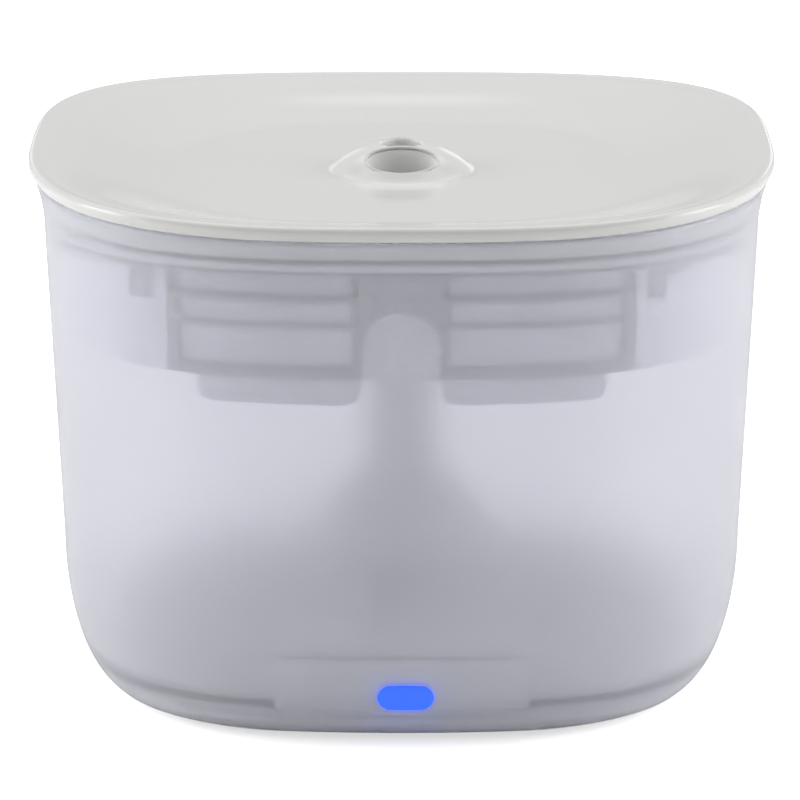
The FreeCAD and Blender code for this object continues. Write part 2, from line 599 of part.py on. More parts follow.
def make_cartridge():
    """The filter cartridge: a shell with two feet in the basket's pockets, two fillings and a slotted lid."""
    front, back = "-cart_front", "-cart_back"
    shell = new_body("cartridge_shell")
    sketch = new_sketch(shell, level="cart_low")
    draw_box(sketch, "-cart_half_wide", "cart_half_wide", front, back)
    pad(shell, sketch, "cart_top-2-cart_low")
    for left, right in (("-pocket_outer+3.5", "-pocket_inner-3.5"), ("pocket_inner+3.5", "pocket_outer-3.5")):
        sketch = new_sketch(shell, level="pocket_low+3")
        draw_box(sketch, left, right, "-cart_front", "-cart_front+9")
        pad(shell, sketch, "cart_low-pocket_low-2.5")
    sketch = new_sketch(shell, level="cart_low+1.6")
    draw_box(sketch, "-cart_half_wide+1.6", "cart_half_wide-1.6", f"{front}+1.6", f"{back}-1.6")
    pocket(shell, sketch, "30")
    inner = ["-cart_half_wide+1.8", "cart_half_wide-1.8", f"{front}+1.8", f"{back}-1.8"]
    single(block("carbon", *inner, "cart_low+1.6", "cart_low+8.6"), "carbon_bed")
    single(block("felt", *inner, "cart_low+8.7", "cart_top-2.2"), "felt_pad")
    lid = new_body("cartridge_lid")
    sketch = new_sketch(lid, level="cart_top-2")
    draw_box(sketch, "-cart_half_wide", "cart_half_wide", front, back)
    for place in range(-6, 7):
        draw_box(sketch, f"{place * SLOT_STEP}-slot_half", f"{place * SLOT_STEP}+slot_half", f"{front}+10",
                 f"{back}-10")
    pad(lid, sketch, "2")


def make_pump():
    """The pump: a foot with the receiving coil, a sealed motor, the impeller room, sponge and bell."""
    shell = "pump_radius-pump_wall"
    turned_part("pump_foot", ring_profile("0", "pump_radius", "floor_top", "floor_top+2.4"),
                ring_profile(f"{shell}-1.7", f"{shell}-0.2", "floor_top+2", "floor_top+7.2"))
    turned_part("receiving_coil", ring_profile("coil_bore", f"{shell}-2", "floor_top+2.4", "floor_top+5.4"))
    turned_part("pump_board", ring_profile("0", f"{shell}-2", "floor_top+5.5", "floor_top+6.7"))
    # The well keeps water off the motor and ends in a flange on the foot's wall.
    turned_part("rotor_well", [("0", "floor_top+7.2"), (f"{shell}-0.2", "floor_top+7.2"),
                               (f"{shell}-0.2", "floor_top+8.4"), ("rotor_radius+1.8", "floor_top+8.4"),
                               ("rotor_radius+1.8", "impeller_low-1.4"), ("rotor_radius+0.6", "impeller_low-1.4"),
                               ("rotor_radius+0.6", "floor_top+8.4"), ("0", "floor_top+8.4")])
    turned_part("motor_coil", ring_profile("rotor_radius+2", "rotor_radius+7.6", "floor_top+8.5", "floor_top+18.5"))
    turned_part("pump_shaft", ring_profile("0", "shaft_radius", "floor_top+8.4", "impeller_low+impeller_tall+1.2"))
    bushes = new_body("shaft_bushes")
    turn_profile(bushes, ring_profile("shaft_radius+0.05", "bush_radius", "floor_top+9.4", "impeller_low+impeller_tall"))
    turned_part("rotor_magnet", ring_profile("bush_radius", "rotor_radius", "floor_top+9.4", "impeller_low-0.4"))

    impeller = new_body("impeller")
    turn_profile(impeller, ring_profile("bush_radius", "impeller_radius", "impeller_low-0.4", "impeller_low+0.8"))
    turn_profile(impeller, ring_profile("bush_radius", "bush_radius+1.6", "impeller_low", "impeller_low+impeller_tall"))
    sketch = new_sketch(impeller, level="impeller_low+0.5")
    draw_box(sketch, "bush_radius+1", "impeller_radius-0.3", "axis_y-0.5", "axis_y+0.5")
    blade = pad(impeller, sketch, "impeller_tall-0.5")
    # The blades repeat about an upright line through the pump's axis.
    axis = impeller.newObject("PartDesign::Line", "impeller_axis")
    axis.setExpression("Placement.Base.y", expression("axis_y"))
    pattern = impeller.newObject("PartDesign::PolarPattern", "impeller_blades")
    pattern.Originals = [blade]
    pattern.Axis = (axis, [""])
    pattern.Occurrences = IMPELLER_BLADES
    impeller.Tip = pattern
    doc.recompute()

    roof = "impeller_low+impeller_tall"
    turned_part("impeller_cover", [
        ("impeller_radius+1", "impeller_low-1.4"), ("impeller_radius+2.2", "impeller_low-1.4"),
        ("impeller_radius+2.2", f"{roof}+1.6"), ("riser_bore", "pump_neck-2.5"), ("riser_bore", "pump_neck+2"),
        ("riser_bore-1.2", "pump_neck+2"), ("riser_bore-1.2", "pump_neck-2.8"),
        ("impeller_radius+1", f"{roof}+0.9")])
    turned_part("pump_sponge", ring_profile("rotor_radius+8.2", f"{shell}-1.2", "floor_top+8.8", "floor_top+18"))

    bell = new_body("pump_bell")
    turn_profile(bell, [
        (f"{shell}", "floor_top+2.4"), ("pump_radius", "floor_top+2.4"), ("pump_radius", "pump_shoulder"),
        ("pump_radius-1.6", "pump_shoulder+6"), ("pump_radius-5.5", "pump_shoulder+12"),
        ("riser_radius+3", "pump_neck-4.4"), ("riser_radius", "pump_neck-1"), ("riser_radius", "pump_neck+0.1"),
        ("riser_bore+0.1", "pump_neck+0.1"), ("riser_bore+0.1", "pump_neck-2"), ("riser_radius+1.8", "pump_neck-6"),
        ("pump_radius-7", "pump_shoulder+11"), ("pump_radius-3.2", "pump_shoulder+5.4"), (shell, "pump_shoulder-0.4")])
    # Upright intake slots all round the bell.
    sketch = new_sketch(bell, level="floor_top+10")
    for k in range(INTAKE_SLOTS):
        angle = 360 * k / INTAKE_SLOTS
        along, across = f"cos({angle} deg)", f"sin({angle} deg)"
        corners = [(f"({u})*({along})-({w})*({across})", f"axis_y+({u})*({across})+({w})*({along})")
                   for u, w in ((shell + "-1", "-1"), ("pump_radius+2", "-1"), ("pump_radius+2", "1"),
                                (shell + "-1", "1"))]
        draw_polygon(sketch, corners)
    pocket(bell, sketch, "6")

    turned_part("riser_tube", ring_profile("riser_bore", "riser_radius", "pump_neck+0.1", "riser_top"))
    turned_part("riser_seal", ring_profile("spout_radius+spout_wall+0.2", "riser_bore", "spout_low+0.5", "spout_low+3.5"))


def write_parts():
    """Recomputes, checks every object and every sub-part, and writes one file for each."""
    doc.recompute()
    failed = [o.Name for o in doc.Objects if set(o.State) & {"Invalid", "Error"}]
    if failed:
        raise RuntimeError(f"these objects failed: {failed}")
    os.makedirs("parts", exist_ok=True)
    for made in parts:
        shape = made.Shape
        if shape.isNull() or not shape.isValid() or not shape.Solids:
            raise RuntimeError(f"{made.Label} has no valid solid")
        shape.exportStep(f"parts/{made.Label}.step")
        box = shape.BoundBox
        print(f"{made.Label:18} solids {len(shape.Solids)} volume {shape.Volume:10.1f} "
              f"x {box.XMin:7.2f} {box.XMax:7.2f} y {box.YMin:7.2f} {box.YMax:7.2f} z {box.ZMin:7.2f} {box.ZMax:7.2f}")


make_tank()
make_base()
make_electronics()
make_tray()
make_basket()
make_cartridge()
make_pump()
write_parts()
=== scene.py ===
import json
import logging
import math
from dataclasses import dataclass, field
from enum import Enum
from typing import Callable, Optional, Sequence

import bmesh
import bpy
import numpy as np
from mathutils import Matrix, Vector

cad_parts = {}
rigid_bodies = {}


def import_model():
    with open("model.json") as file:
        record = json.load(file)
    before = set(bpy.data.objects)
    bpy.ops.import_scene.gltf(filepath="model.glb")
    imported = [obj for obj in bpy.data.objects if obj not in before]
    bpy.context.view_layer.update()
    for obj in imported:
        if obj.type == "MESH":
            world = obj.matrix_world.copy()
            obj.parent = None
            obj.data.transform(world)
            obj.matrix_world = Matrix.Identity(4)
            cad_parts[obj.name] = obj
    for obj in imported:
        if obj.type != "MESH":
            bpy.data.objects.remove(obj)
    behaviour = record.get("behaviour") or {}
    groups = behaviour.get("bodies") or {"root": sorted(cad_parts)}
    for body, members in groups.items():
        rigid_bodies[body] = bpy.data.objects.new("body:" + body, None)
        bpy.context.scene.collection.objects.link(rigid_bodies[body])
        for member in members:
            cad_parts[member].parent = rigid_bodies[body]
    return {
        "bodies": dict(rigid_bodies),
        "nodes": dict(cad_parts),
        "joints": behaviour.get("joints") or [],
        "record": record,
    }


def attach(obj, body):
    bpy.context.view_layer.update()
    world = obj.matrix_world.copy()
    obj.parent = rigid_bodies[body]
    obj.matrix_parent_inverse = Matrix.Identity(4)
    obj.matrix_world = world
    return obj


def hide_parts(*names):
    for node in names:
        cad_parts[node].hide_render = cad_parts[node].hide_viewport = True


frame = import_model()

log = logging.getLogger("fountain")
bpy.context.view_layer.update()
MM = 0.001
AROUND = 240


class Grain(Enum):
    """The fine texture that a finish shows."""

    POLISHED = "polished"
    MOULDED = "moulded"
    FROSTED = "frosted"
    WOUND = "wound"
    FIBRE = "fibre"
    CELLS = "cells"
    GRANULES = "granules"


@dataclass(frozen=True)
class Finish:
    """One finish of the fountain: its colour, shine and fine texture.

    Attributes:
        name: The finish's plain name.
        colour: Linear base colour.
        roughness: Mean roughness.
        grain: Which texture drives the roughness, the tint and the bump.
        scale: Texture cells per metre.
        bump: Bump height in metres.
        transmission: Share of light that passes through the body of the plastic.
        ior: Index of refraction.
        metallic: One for metal.
        coat: Weight of a clear glossy top layer.
        glow: Emission colour, or None.
        strength: Emission strength.
        tint: How far the colour varies over the surface.
    """

    name: str
    colour: tuple[float, float, float]
    roughness: float = 0.4
    grain: Grain = Grain.MOULDED
    scale: float = 900.0
    bump: float = 0.00002
    transmission: float = 0.0
    ior: float = 1.46
    metallic: float = 0.0
    coat: float = 0.0
    glow: Optional[tuple[float, float, float]] = None
    strength: float = 0.0
    tint: float = 0.03

    def build(self) -> bpy.types.Material:
        """Makes the node material.

        Returns:
            The material, made once and kept under the finish's name.
        """
        if self.name in bpy.data.materials:
            return bpy.data.materials[self.name]
        made = bpy.data.materials.new(self.name)
        made.use_nodes = True
        tree = made.node_tree
        shader = tree.nodes["Principled BSDF"]
        shader.inputs["Metallic"].default_value = self.metallic
        shader.inputs["IOR"].default_value = self.ior
        shader.inputs["Transmission Weight"].default_value = self.transmission
        shader.inputs["Coat Weight"].default_value = self.coat
        shader.inputs["Coat Roughness"].default_value = 0.06
        if self.glow is not None:
            shader.inputs["Emission Color"].default_value = (*self.glow, 1.0)
            shader.inputs["Emission Strength"].default_value = self.strength
        pattern = self._pattern(tree)
        self._tinted(tree, pattern, shader)
        self._roughened(tree, pattern, shader)
        if self.bump > 0:
            bump = tree.nodes.new("ShaderNodeBump")
            bump.inputs["Distance"].default_value = self.bump
            bump.inputs["Strength"].default_value = 1.0
            tree.links.new(pattern, bump.inputs["Height"])
            tree.links.new(bump.outputs["Normal"], shader.inputs["Normal"])
        return made

    def _pattern(self, tree: bpy.types.NodeTree) -> bpy.types.NodeSocket:
        """Adds the grain's texture on object coordinates and returns its height from 0 to 1."""
        place = tree.nodes.new("ShaderNodeTexCoord").outputs["Object"]
        if self.grain in (Grain.CELLS, Grain.GRANULES):
            cells = tree.nodes.new("ShaderNodeTexVoronoi")
            cells.feature = "F1" if self.grain is Grain.GRANULES else "DISTANCE_TO_EDGE"
            cells.inputs["Scale"].default_value = self.scale
            tree.links.new(place, cells.inputs["Vector"])
            return cells.outputs["Distance"]
        if self.grain is Grain.WOUND:
            rings = tree.nodes.new("ShaderNodeTexWave")
            rings.wave_type = "RINGS"
            rings.rings_direction = "Z"
            rings.inputs["Scale"].default_value = self.scale
            rings.inputs["Distortion"].default_value = 0.4
            tree.links.new(place, rings.inputs["Vector"])
            return rings.outputs["Fac"]
        noise = tree.nodes.new("ShaderNodeTexNoise")
        noise.inputs["Scale"].default_value = self.scale
        noise.inputs["Detail"].default_value = 6.0 if self.grain is Grain.FIBRE else 3.0
        tree.links.new(place, noise.inputs["Vector"])
        return noise.outputs["Fac"]

    def _tinted(self, tree: bpy.types.NodeTree, pattern: bpy.types.NodeSocket,
                shader: bpy.types.Node) -> None:
        """Varies the base colour a little with a broad mottle and the fine grain."""
        broad = tree.nodes.new("ShaderNodeTexNoise")
        broad.inputs["Scale"].default_value = 18.0
        place = tree.nodes.new("ShaderNodeTexCoord").outputs["Object"]
        tree.links.new(place, broad.inputs["Vector"])
        blend = tree.nodes.new("ShaderNodeMath")
        blend.operation = "MULTIPLY_ADD"
        blend.inputs[1].default_value = 0.5
        tree.links.new(pattern, blend.inputs[0])
        tree.links.new(broad.outputs["Fac"], blend.inputs[2])
        ramp = tree.nodes.new("ShaderNodeValToRGB")
        low, high = (np.clip(np.array(self.colour) * k, 0, 1) for k in (1 - self.tint, 1 + self.tint))
        ramp.color_ramp.elements[0].position = 0.35
        ramp.color_ramp.elements[1].position = 1.0
        ramp.color_ramp.elements[0].color = (*low, 1.0)
        ramp.color_ramp.elements[1].color = (*high, 1.0)
        tree.links.new(blend.outputs[0], ramp.inputs["Fac"])
        tree.links.new(ramp.outputs["Color"], shader.inputs["Base Color"])

    def _roughened(self, tree: bpy.types.NodeTree, pattern: bpy.types.NodeSocket,
                   shader: bpy.types.Node) -> None:
        """Lets the grain move the roughness by a tenth either way."""
        spread = tree.nodes.new("ShaderNodeMapRange")
        spread.inputs["To Min"].default_value = max(self.roughness * 0.9, 0.01)
        spread.inputs["To Max"].default_value = min(self.roughness * 1.1, 1.0)
        tree.links.new(pattern, spread.inputs["Value"])
        tree.links.new(spread.outputs["Result"], shader.inputs["Roughness"])


TRAY_GLOSS = Finish("tray gloss", (0.765, 0.765, 0.745), 0.11, Grain.POLISHED, 160, 0.0000004,
                    coat=0.25, tint=0.012)
TANK_OUTSIDE = Finish("tank frost outside", (0.93, 0.935, 0.985), 0.30, Grain.FROSTED, 2600, 0.0000015,
                      transmission=0.72, ior=1.34, tint=0.012)
TANK_INSIDE = Finish("tank frost inside", (0.97, 0.973, 0.992), 0.16, Grain.FROSTED, 2600, 0.000001,
                     transmission=0.96, ior=1.34, tint=0.01)
TANK_FLOOR = Finish("tank frost floor", (0.96, 0.963, 0.985), 0.35, Grain.FROSTED, 2600, 0.000001,
                    transmission=0.05, ior=1.34, tint=0.01)
BLOCK = Finish("tank block", (0.60, 0.61, 0.65), 0.35, Grain.MOULDED, 1800, 0.000004, tint=0.02)
WHITE_BASE = Finish("base plastic", (0.90, 0.905, 0.93), 0.42, Grain.MOULDED, 1500, 0.00001, tint=0.02)
BASKET_THIN = Finish("basket panel", (0.80, 0.81, 0.86), 0.35, Grain.MOULDED, 1500, 0.00001)
# Painted shade: a dark grey that stands in for the shade on the basket's frame, band, column and brackets as
# seen through the frosted wall.
BASKET_PAINTED_SHADE = Finish("basket rib painted shade", (0.40, 0.41, 0.45), 0.35, Grain.MOULDED, 1500, 0.00001)
DRAIN_MATT = Finish("drain well", (0.92, 0.92, 0.91), 0.55, Grain.MOULDED, 1500, 0.00001)
PUMP_GREY = Finish("pump plastic", (0.58, 0.59, 0.63), 0.38, Grain.MOULDED, 1600, 0.00002)
SILICONE = Finish("silicone", (0.66, 0.66, 0.68), 0.7, Grain.MOULDED, 3000, 0.00003)
STEEL = Finish("plated steel", (0.6, 0.6, 0.62), 0.28, Grain.POLISHED, 2500, 0.000004, metallic=1.0)
COPPER = Finish("enamelled winding", (0.62, 0.24, 0.10), 0.3, Grain.WOUND, 900, 0.00012,
                metallic=1.0, tint=0.2)
FERRITE = Finish("ferrite", (0.045, 0.045, 0.05), 0.6, Grain.MOULDED, 2200, 0.00003, tint=0.15)
BOARD = Finish("solder mask", (0.02, 0.13, 0.06), 0.35, Grain.MOULDED, 1200, 0.00001, tint=0.15)
COMPONENT = Finish("component black", (0.02, 0.02, 0.024), 0.45, Grain.MOULDED, 2500, 0.00002, tint=0.1)
CARBON = Finish("carbon granules", (0.02, 0.02, 0.022), 0.6, Grain.GRANULES, 800, 0.0006, tint=0.4)
FELT = Finish("needle felt", (0.80, 0.81, 0.82), 0.95, Grain.FIBRE, 1400, 0.0003, tint=0.06)
SPONGE = Finish("open-cell sponge", (0.055, 0.06, 0.07), 0.95, Grain.CELLS, 900, 0.0005, tint=0.5)
CERAMIC = Finish("ceramic", (0.80, 0.79, 0.75), 0.15, Grain.POLISHED, 900, 0.000002, coat=0.3)
MAGNET = Finish("bonded magnet", (0.05, 0.05, 0.055), 0.5, Grain.MOULDED, 2600, 0.00002, tint=0.1)
LIT_LENS = Finish("lit lens", (0.02, 0.08, 0.5), 0.5, Grain.FROSTED, 2000, 0.00001,
                  glow=(0.025, 0.11, 1.0), strength=1.05)

CAD_FINISHES: dict[str, Finish] = {
    "frosted_tank": TANK_OUTSIDE,
    "glossy_tray": TRAY_GLOSS,
    "white_plastic": WHITE_BASE,
    "basket_plastic": BASKET_THIN,
    "pump_plastic": PUMP_GREY,
    "silicone": SILICONE,
    "screw_steel": STEEL,
    "copper": COPPER,
    "ferrite": FERRITE,
    "board": BOARD,
    "component_black": COMPONENT,
    "light_blue": LIT_LENS,
    "carbon": CARBON,
    "felt": FELT,
    "sponge": SPONGE,
    "ceramic_shaft": CERAMIC,
    "magnet": MAGNET,
}


def smooth(x: np.ndarray, low: float, high: float) -> np.ndarray:
    """A smooth step: 0 up to low, 1 from high, and 3t^2 - 2t^3 between."""
    t = np.clip((x - low) / (high - low), 0, 1)
    return t * t * (3 - 2 * t)


def angles(count: int = AROUND) -> np.ndarray:
    """Evenly spaced angles once round, without the last."""
    return np.linspace(0, 2 * math.pi, count, endpoint=False)


def plan_reach(turn: np.ndarray, power: np.ndarray) -> np.ndarray:
    """Reach of a unit superellipse: (|cos|^p + |sin|^p)^(-1/p)."""
    c, s = np.abs(np.cos(turn)), np.abs(np.sin(turn))
    return (c**power + s**power) ** (-1 / power)


def mesh_object(name: str, points: np.ndarray, closed: bool = True,
                split: Optional[Callable[[np.ndarray], np.ndarray]] = None) -> bpy.types.Object:
    """Makes a mesh from a grid of points in millimetres.

    Args:
        name: The piece's name.
        points: Array (rows, columns, 3); columns run round and join up.
        closed: True if the last row also joins the first.
        split: Gives each face's material index from the face row numbers.

    Returns:
        The object, smooth shaded, its faces turned outwards, with doubled points merged.
    """
    rows, columns, _ = points.shape
    index = np.arange(rows * columns).reshape(rows, columns)
    upper = np.roll(index, -1, axis=0) if closed else index[1:]
    lower = index if closed else index[:-1]
    quads = np.stack([lower, np.roll(lower, -1, 1), np.roll(upper, -1, 1), upper], axis=-1)
    face_row = np.repeat(np.arange(len(lower)), columns)
    quads = quads.reshape(-1, 4)
    flat = points.reshape(-1, 3) * MM
    a, b, c = flat[quads[:, 0]], flat[quads[:, 1]], flat[quads[:, 2]]
    d = flat[quads[:, 3]]
    volume = (np.einsum("ij,ij->i", a, np.cross(b, c)) + np.einsum("ij,ij->i", a, np.cross(c, d))).sum()
    if volume < 0:
        quads = quads[:, ::-1]
    mesh = bpy.data.meshes.new(name)
    mesh.vertices.add(len(flat))
    mesh.vertices.foreach_set("co", flat.ravel())
    mesh.loops.add(quads.size)
    mesh.loops.foreach_set("vertex_index", quads.ravel())
    mesh.polygons.add(len(quads))
    mesh.polygons.foreach_set("loop_start", np.arange(0, quads.size, 4))
    if split is not None:
        mesh.polygons.foreach_set("material_index", split(face_row).astype(np.int32))
    mesh.update(calc_edges=True)
    work = bmesh.new()
    work.from_mesh(mesh)
    bmesh.ops.remove_doubles(work, verts=work.verts, dist=1e-6)
    bmesh.ops.dissolve_degenerate(work, edges=work.edges, dist=1e-7)
    work.to_mesh(mesh)
    work.free()
    mesh.shade_smooth()
    made = bpy.data.objects.new(name, mesh)
    bpy.context.scene.collection.objects.link(made)
    return made


def ring_points(profile: Sequence[tuple[float, float]], centre: float = 0.0, count: int = 72) -> np.ndarray:
    """A round lathe: each (radius, level) pair carried round an upright axis at y = centre."""
    turn = angles(count)
    pairs = np.array(profile, float)
    radius, level = pairs[:, :1], pairs[:, 1:]
    return np.stack([radius * np.cos(turn), radius * np.sin(turn) + centre, level + 0 * turn], axis=-1)


def join(pieces: Sequence[bpy.types.Object], name: str) -> bpy.types.Object:
    """Joins the pieces into the first one and names it."""
    bpy.ops.object.select_all(action="DESELECT")
    for piece in pieces:
        piece.select_set(True)
    bpy.context.view_layer.objects.active = pieces[0]
    bpy.ops.object.join()
    pieces[0].name = name
    return pieces[0]


def carve(body: bpy.types.Object, tools: Sequence[bpy.types.Object]) -> None:
    """Cuts the closed tools out of the body and deletes them."""
    for tool in tools:
        cut = body.modifiers.new("cut", "BOOLEAN")
        cut.operation = "DIFFERENCE"
        cut.solver = "EXACT"
        cut.object = tool
    bpy.context.view_layer.update()
    graph = bpy.context.evaluated_depsgraph_get()
    made = bpy.data.meshes.new_from_object(body.evaluated_get(graph))
    body.modifiers.clear()
    body.data = made
    for tool in tools:
        bpy.data.objects.remove(tool)


def dress(piece: bpy.types.Object, *finishes: Finish) -> None:
    """Gives the piece its material slots in order."""
    piece.data.materials.clear()
    for finish in finishes:
        piece.data.materials.append(finish.build())


@dataclass
class Plan:
    """The rounded-square plan that the tank, the tray and the basket share.

    Attributes:
        half: Half width of the rim, in millimetres.
        rim_front: Level of the rim at the middle of the front.
        rim_rise: How much higher the rim is at its sides.
        rise_power: Power of the saddle curve, |x / half| to this.
        power: Power of the superellipse at the rim.
    """

    half: float = 95.0
    rim_front: float = 136.0
    rim_rise: float = 2.6
    rise_power: float = 2.76
    power: float = 2.93

    def saddle(self, across: np.ndarray) -> np.ndarray:
        """How far the rim stands above its front, at this distance from the middle."""
        return self.rim_rise * np.abs(across / self.half) ** self.rise_power

    def carried(self, half: np.ndarray, level: np.ndarray, lift: np.ndarray) -> np.ndarray:
        """The plan outline at each half width and level, raised along the saddle by lift times its height.

        Returns:
            Array (rows, around, 3) in millimetres.
        """
        turn = angles()
        reach = half[:, None] * plan_reach(turn, np.array(self.power))
        across, along = reach * np.cos(turn), reach * np.sin(turn)
        return np.stack([across, along, level[:, None] + lift[:, None] * self.saddle(across)], axis=-1)


@dataclass
class Tank:
    """The frosted tank: outer wall, rim flare, rounded foot, raised floor and the room under it."""

    plan: Plan
    wall_top: float = 91.25
    wall_low: float = 87.5
    wall: float = 2.2
    flare_start: float = 121.0
    round_out: float = 14.5
    round_up: float = 38.1
    plate_low: float = 1.5
    seam_angle: float = 77.0
    floor_top: float = 12.0
    floor_low: float = 9.8
    block_half: float = 32.0
    block_top: float = 25.0
    block_back: float = -53.5
    foot_radius: float = 5.0
    ledge: float = 124.0
    ledge_half: float = 90.0
    skin: float = 0.9
    axis_y: float = 4.0
    socket_level: float = 11.0
    socket_radius: float = 4.5

    @property
    def round_start(self) -> float:
        """Level where the straight wall meets the lower rounding."""
        return self.plate_low + self.round_up

    def outer(self, level: np.ndarray) -> np.ndarray:
        """Half width of the outside: a line above, a quarter ellipse below, a soft flare at the top."""
        span = self.flare_start - self.round_start
        line = self.wall_low + (self.wall_top - self.wall_low) * (level - self.round_start) / span
        t = np.clip((self.round_start - level) / self.round_up, 0, 1)
        foot = self.wall_low - self.round_out * (1 - np.sqrt(1 - t * t))
        t = np.clip((level - self.flare_start) / 11.0, 0, 1.2)
        return np.where(level < self.round_start, foot, line) + 2.1 * t**2.0

    def profile(self) -> tuple[np.ndarray, np.ndarray, np.ndarray, np.ndarray]:
        """The closed wall profile from the floor's middle, up, over the rim, down and under.

        Returns:
            Half widths, levels, saddle lifts, and for each row 1 on the outside, -1 on the floor, else 0.
        """
        top = self.plan.rim_front - 4.0
        seam = math.radians(self.seam_angle)
        corner = np.linspace(0, math.pi / 2, 9)
        bend = self.foot_radius
        inner_low = self.outer(np.array([self.floor_top + bend]))[0] - self.wall
        foot_half = inner_low - bend + bend * np.sin(corner)
        foot_level = self.floor_top + bend - bend * np.cos(corner)
        floor_half = np.linspace(0, foot_half[0], 12)[:-1]
        rise = np.linspace(foot_level[-1] + 3, self.ledge, 24)
        rise_half = self.outer(rise) - self.wall
        step_half = self.ledge_half + np.array([-0.2, 0.0, 0.5, 1.2])
        step_level = np.array([self.ledge, self.ledge + 0.3, top - 4, top - 0.8])
        lip_half = np.array([self.ledge_half + 1.8, 93.0, 93.6])
        lip_level = np.array([top, top, top - 0.5])
        down = np.concatenate([np.linspace(top - 1.5, self.flare_start, 10),
                               np.linspace(self.flare_start - 4, self.round_start, 16)])
        down_half = self.outer(down)
        dip = np.linspace(0, seam, 26)[1:]
        round_level = self.round_start - self.round_up * np.sin(dip)
        round_half = self.outer(round_level)
        room_level = np.array([2.48, 4.5, 6.5, 8.3, self.floor_low - 0.5, self.floor_low])
        inset = np.array([2.6, 2.9, 2.6, 2.5, 2.6, 3.6])
        room_half = self.outer(room_level) - inset
        under_half = np.linspace(room_half[-1], 0, 10)[1:]
        half = np.concatenate([floor_half, foot_half, rise_half, step_half, lip_half, down_half,
                               round_half, room_half, under_half])
        level = np.concatenate([0 * floor_half + self.floor_top, foot_level, rise, step_level, lip_level,
                                down, round_level, room_level, 0 * under_half + self.floor_low])
        lift = smooth(level, self.flare_start - 6, top)
        outside = np.zeros(len(half))
        outside[:len(floor_half) + 4] = -1
        outside[len(half) - len(under_half) - len(room_half):] = -1
        first = len(floor_half) + len(foot_half) + len(rise_half) + len(step_half) + 1
        outside[first:first + 2 + len(down) + len(dip)] = 1
        outside[(outside == 1) & (level < 6.5)] = -1
        return half, level, lift, outside

    def build(self) -> bpy.types.Object:
        """Builds the tank wall with its pump ring and two blocks, and dresses it."""
        half, level, lift, outside = self.profile()
        body = mesh_object("tank", self.plan.carried(half, level, lift), closed=False,
                           split=lambda row: 1 - outside[row])
        carve(body, [self.socket_tool()])
        dress(body, TANK_OUTSIDE, TANK_INSIDE, TANK_FLOOR)
        base = self.floor_top
        ring = mesh_object("ring", ring_points([(24.5, base - 0.1), (24.5, base + 2.2), (24.8, base + 2.5),
                                                (25.8, base + 2.5), (26.1, base + 2.2), (26.1, base - 0.1)],
                                               self.axis_y))
        blocks = [self.block("light block", self.block_half, self.block_back, self.block_top, -1.0),
                  self.block("socket block", 8.5, -63.5, 18.5, 1.0)]
        dress(ring, TANK_FLOOR)
        for piece in blocks:
            dress(piece, BLOCK)
        made = join([body, ring, *blocks], "tank")
        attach(made, "base")
        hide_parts("tank_shell")
        return made

    def socket_tool(self) -> bpy.types.Object:
        """A round cutter along Y for the power socket's hole in the back wall."""
        turn = angles(64)
        loops = []
        for share, along in ((0.0, 73.0), (1.0, 73.0), (1.0, 88.0), (0.0, 88.0)):
            radius = share * self.socket_radius
            level = radius * np.sin(turn) + self.socket_level
            loops.append(np.stack([radius * np.cos(turn), np.full_like(turn, along), level], axis=-1))
        return mesh_object("socket tool", np.array(loops), closed=False)

    def block(self, name: str, half_wide: float, back: float, top: float, side: float) -> bpy.types.Object:
        """A hollow block on the floor whose front follows the wall, open below.

        Args:
            name: The block's name.
            half_wide: Half its width.
            back: Its face towards the tank's middle, as a level along -Y.
            top: The level of its top.
            side: -1 on the front wall and 1 on the back wall.
        """
        foot = self.floor_low + 0.1
        rows = [(foot, 0.0), (top - 1.5, 0.0), (top - 0.4, 0.4), (top, 1.5), (top, half_wide)]
        rows += [(top - 2.0, half_wide), (top - 2.0, 3.4), (top - 2.6, 2.3), (top - 3.6, 2.0), (foot, 2.0)]
        turn = angles(160)
        corner = plan_reach(turn, np.array(14.0))
        share = (1 + corner * np.sin(turn)) / 2
        power = self.plan.power
        loops = []
        for level, inset in rows:
            wide = half_wide - inset
            x = wide * corner * np.cos(turn)
            if wide > 0.0:
                reach = self.outer(np.array([level]))[0] - self.skin
                front = -reach * (1 - np.abs(x / reach) ** power) ** (1 / power) + inset
                y = front + (back - inset - front) * share
            else:
                y = np.full_like(x, (back - 84.0) / 2)
            loops.append(np.stack([x, -side * y, np.full_like(x, level)], axis=-1))
        return mesh_object(name, np.array(loops))


@dataclass
class Lens:
    """The lit pill: a rounded bar through the front wall, its domed front about flush with the outside."""

    centre: tuple[float, float] = (1.0, 13.9)
    half_wide: float = 7.3
    half_tall: float = 3.8
    back: float = -72.0
    front: float = -84.05
    slope: float = 0.37

    def build(self) -> bpy.types.Object:
        """Builds the pill as inset outlines from its back to its rounded front."""
        turn = angles(96)
        flat = self.half_wide - self.half_tall
        x, z = np.cos(turn), np.sin(turn)
        rows = [(-self.half_tall, self.back), (-0.3, self.back), (0.0, self.back - 0.3)]
        rows += [(grow, self.front + depth) for grow, depth in (
            (0.0, 0.95), (-0.15, 0.55), (-0.5, 0.25), (-1.0, 0.1), (-2.0, 0.03), (-self.half_tall, 0.0))]
        loops = []
        for grow, reach in rows:
            radius = self.half_tall + grow
            across = radius * x + np.clip(x * 4, -1, 1) * flat
            up = radius * z
            lean = self.slope * up * (reach < self.back - 4)
            loops.append(np.stack([across + self.centre[0], reach - lean, up + self.centre[1]], axis=-1))
        made = mesh_object("lens", np.array(loops), closed=False)
        dress(made, LIT_LENS)
        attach(made, "base")
        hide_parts("light_lens")
        return made


